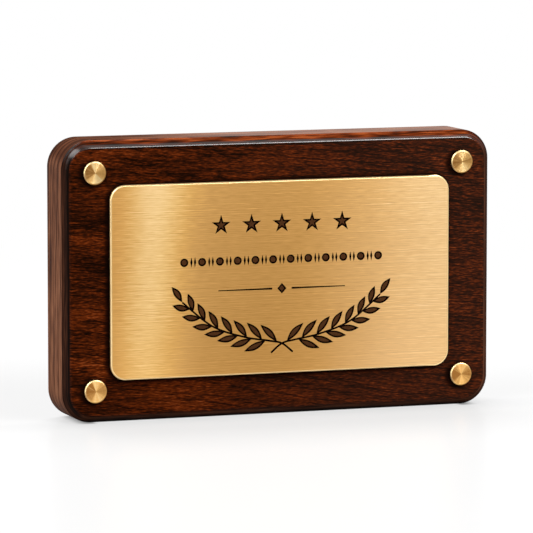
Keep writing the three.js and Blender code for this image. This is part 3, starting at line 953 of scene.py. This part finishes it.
def engraved_plate(face, rim, groove, filled, lines):
    """The plate: its face brushed, its rim polished, and the engraving cut out of it."""
    thickness = PLATE_BACK - PLATE_FRONT
    profile = [
        (RIM_CHAMFER + 1, 0), (RIM_CHAMFER, 0), (0, RIM_CHAMFER), (0, thickness), (1, thickness)]
    profile = rounded_corners(profile, {1: RIM_ARRIS, 2: RIM_ARRIS})[1:-1]
    blank = slab(PLATE_WIDTH, PLATE_HEIGHT, PLATE_CORNER_RADIUS, PLATE_MIDDLE,
                 [(inset, PLATE_FRONT + y) for inset, y in profile])
    plate = new_piece("brass_plate", blank, face, rim)
    for polygon in plate.data.polygons:
        flat = abs(polygon.normal.y) > 0.999
        polygon.material_index = 0 if flat else 1
    cutters = []
    for shapes in (filled, lines):
        stamp = new_piece("stamp", shapes.copy(), groove)
        stamp.data.transform(Matrix.Translation((0, -CUTTER_RISE * MM, 0)))
        applied(stamp, ("SOLIDIFY", {"thickness": (ENGRAVING_DEPTH + CUTTER_RISE) * MM}))
        cutters.append(stamp.data)
        bpy.data.objects.remove(stamp)
    return smoothed(cut_by(plate, cutters))


def shrunk(outline, gap):
    """A flat outline, anticlockwise, moved inward by a gap. Points that have no room for it go."""
    edges = [(outline[i - 1], outline[i]) for i in range(len(outline))]
    inward = [(end - start).normalized().orthogonal() for start, end in edges]
    moved = [point + (before + after) * gap / (1 + before.dot(after))
             for point, before, after in zip(outline, inward, inward[1:] + inward[:1])]

    def distance(point, start, end):
        line = end - start
        share = min(max((point - start).dot(line) / line.length_squared, 0), 1)
        return (point - start - line * share).length

    return [point for point in moved
            if min(distance(point, *edge) for edge in edges) > gap * 0.98]


def enamel_fill(material, filled):
    """Enamel in the engraving's wide shapes: a pad in each, with a bare groove round it."""
    points, faces = [], []
    for face in filled.polygons:
        corners = [filled.vertices[i].co / MM for i in face.vertices]
        if face.normal.y > 0:
            corners.reverse()
        pad = shrunk([Vector((corner.x, corner.z)) for corner in corners], ENAMEL_GAP)
        faces.append(range(len(points), len(points) + len(pad)))
        points += [(x * MM, (PLATE_FRONT + ENAMEL_SINK) * MM, z * MM) for x, z in pad]
    mesh = bpy.data.meshes.new("enamel")
    mesh.from_pydata(points, [], faces)
    return applied(
        new_piece("engraving_enamel", mesh, material),
        ("SOLIDIFY", {"thickness": (ENGRAVING_DEPTH - ENAMEL_SINK) * MM}),
        ("BEVEL", {"width": ENAMEL_BEVEL * MM, "segments": 1, "limit_method": "ANGLE"}))


# Caps


def turned_cap(place, lathe, material):
    """A chamfered cap and its stud, in the box of the model's cap."""
    low, high = (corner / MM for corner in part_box(f"cap_{place}"))
    centre = (low + high) / 2
    rim = (high.x - low.x) / 2
    seat = BOARD_FRONT
    profile = [
        (0, low.y), (rim - CAP_CHAMFER, low.y), (rim, low.y + CAP_CHAMFER), (rim, seat),
        (STUD_RADIUS, seat), (STUD_RADIUS, high.y - STUD_LEAD),
        (STUD_RADIUS - STUD_LEAD, high.y), (0, high.y)]
    profile = rounded_corners(profile, {1: CAP_ARRIS, 2: CAP_ARRIS})
    mesh = formed(lathe, polyline([(radius, y, 0) for radius, y in profile]),
                  steps=ROUND_STEPS, centre=(centre.x * MM, 0, centre.z * MM))
    form = bmesh.new()
    form.from_mesh(mesh)
    bmesh.ops.recalc_face_normals(form, faces=form.faces)
    form.to_mesh(mesh)
    form.free()
    return smoothed(new_piece(f"turned_cap_{place}", mesh, material))


# Studio


def white_floor():
    """A pale floor that takes the object's shadow and a faint reflection of it. Sizes are in
    metres here."""
    form = bmesh.new()
    bmesh.ops.create_circle(form, cap_ends=True, radius=FLOOR_RADIUS, segments=96)
    mesh = bpy.data.meshes.new("white_floor")
    form.to_mesh(mesh)
    form.free()
    material = bpy.data.materials.new("white_floor")
    material.use_nodes = True
    floor = Tree(material.node_tree)
    rays = floor.node("ShaderNodeLightPath").socket.node.outputs
    place = floor.node("ShaderNodeTexCoord", output="Object")
    across, depth, _ = floor.split(place)
    seen = Wire(floor, rays["Is Camera Ray"]) + Wire(floor, rays["Is Transmission Ray"])
    glossy = Wire(floor, rays["Is Glossy Ray"])
    sweep = floor.step(depth + across.math("ABSOLUTE") * 0.3, -0.2, -0.02)
    distance = floor.node(
        "ShaderNodeVectorMath", {"operation": "LENGTH"}, {0: place}, output="Value")
    far = floor.step(distance, 0.25, 0.7)

    # Dimmer behind the board, and close in front of it
    behind = across * 0.33 + depth * 0.94
    dim = floor.step(depth, -0.02, 0.02) * (1 - floor.step(behind, 0.05, 0.24))
    dim = dim * (0.07 - floor.step(across, 0, 0.13) * 0.035)
    under = floor.step(depth, -0.036, -0.013) * 0.045 * (1 - floor.step(depth, -0.012, 0.004))

    # The light hardly reaches under the board's rounded lower corners
    outside = across.math("ABSOLUTE") - (BOARD_WIDTH / 2 - BOARD_CORNER_RADIUS) * MM
    covered = floor.step(outside, -0.003, 0.0005) * (1 - floor.step(outside, 0.001, 0.009))
    covered = covered * (1 - floor.step(depth.math("ABSOLUTE"), 0.0115, 0.0155))

    plain = floor.node("ShaderNodeBsdfDiffuse", None, {"Color": grey(0.25)})
    front = floor.node("ShaderNodeEmission", None, {"Color": grey(ROOM_FRONT)})
    shade = floor.node("ShaderNodeBsdfDiffuse", None, {"Color": grey(0.12)})
    gloss = floor.node("ShaderNodeBsdfGlossy", None, {"Color": grey(0.07), "Roughness": 0.25})
    light = floor.node("ShaderNodeEmission", None, {
        "Color": (FLOOR_LIGHT - dim - under) * (1 - covered * 0.7)})
    white = floor.node("ShaderNodeEmission", None, {"Color": grey(1)})

    # What the camera sees, what the object's gloss mirrors, and what lights the rest
    near = floor.node("ShaderNodeAddShader", None, {0: shade, 1: gloss})
    near = floor.node("ShaderNodeAddShader", None, {0: near, 1: light})
    shown = floor.node("ShaderNodeMixShader", None, {0: far, 1: near, 2: white})
    mirrored = floor.node("ShaderNodeMixShader", None, {0: sweep, 1: front, 2: shown})
    whole = floor.node("ShaderNodeMixShader", None, {0: seen, 1: plain, 2: shown})
    whole = floor.node("ShaderNodeMixShader", None, {0: glossy, 1: whole, 2: mirrored})
    floor.group.links.new(whole.socket, floor.group.nodes["Material Output"].inputs["Surface"])
    new_piece("white_floor", mesh, material)


def studio_world():
    """A white room behind the object and a dimmer one in front of it."""
    world = bpy.data.worlds.new("studio")
    world.use_nodes = True
    room = Tree(world.node_tree)
    rays = room.node("ShaderNodeLightPath").socket.node.outputs
    seen = Wire(room, rays["Is Camera Ray"]) + Wire(room, rays["Is Transmission Ray"])
    _, y, _ = room.split(room.node("ShaderNodeTexCoord", output="Generated"))
    level = ROOM_FRONT + (ROOM_BACK - ROOM_FRONT) * room.step(y, -0.1, 0.5)
    level = level * (1 - seen) + seen
    background = world.node_tree.nodes["Background"]
    room.group.links.new(level.socket, background.inputs["Color"])
    scene.world = world


def aimed(name, data, azimuth, elevation, distance, target):
    """A lamp or a camera in the scene that looks at a target, given in mm, from a distance."""
    turn, lift = math.radians(azimuth), math.radians(elevation)
    away = Vector((
        math.sin(turn) * math.cos(lift), -math.cos(turn) * math.cos(lift), math.sin(lift)))
    piece = bpy.data.objects.new(name, data)
    piece.location = Vector(target) * MM + away * distance
    piece.rotation_euler = away.to_track_quat("Z", "Y").to_euler()
    scene.collection.objects.link(piece)
    return piece


def softbox(name, azimuth, elevation, width, height, power):
    """An area lamp that looks at the middle of the board."""
    lamp = bpy.data.lights.new(name, "AREA")
    lamp.shape = "RECTANGLE"
    lamp.size = width
    lamp.size_y = height
    lamp.energy = power
    aimed(name, lamp, azimuth, elevation, LAMP_DISTANCE, (0, 0, BOARD_HEIGHT / 2))


def photo_camera():
    data = bpy.data.cameras.new("camera")
    data.sensor_width = 36
    data.lens = CAMERA_LENS
    scene.camera = aimed("camera", data, CAMERA_AZIMUTH, CAMERA_ELEVATION, CAMERA_DISTANCE,
                         CAMERA_TARGET)


photo_camera()
scene.view_settings.view_transform = "Standard"
studio_world()
white_floor()
for name, setting in SOFTBOXES.items():
    softbox(name, *setting)

groove = burnt_groove()
filled, lines = engraving(groove)
plate = engraved_plate(brushed_brass(), polished_brass(), groove, filled, lines)
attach(plate, "root")
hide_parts("engraved_plate")

enamel = enamel_fill(brown_enamel(), filled)
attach(enamel, "root")

board = rosewood_board(rosewood())
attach(board, "root")
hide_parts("board")

for place in CAPS:
    brass = turned_brass(place, cap_centre(place))
    cap = turned_cap(place, lathe_tree(brass), brass)
    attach(cap, "root")
    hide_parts(f"cap_{place}")

steel = zinc_steel()
foam = black_foam()
for name, node in frame["nodes"].items():
    if name.startswith("screw_"):
        node.data.materials.clear()
        node.data.materials.append(steel)
    if name == "plate_adhesive":
        node.data.materials.clear()
        node.data.materials.append(foam)
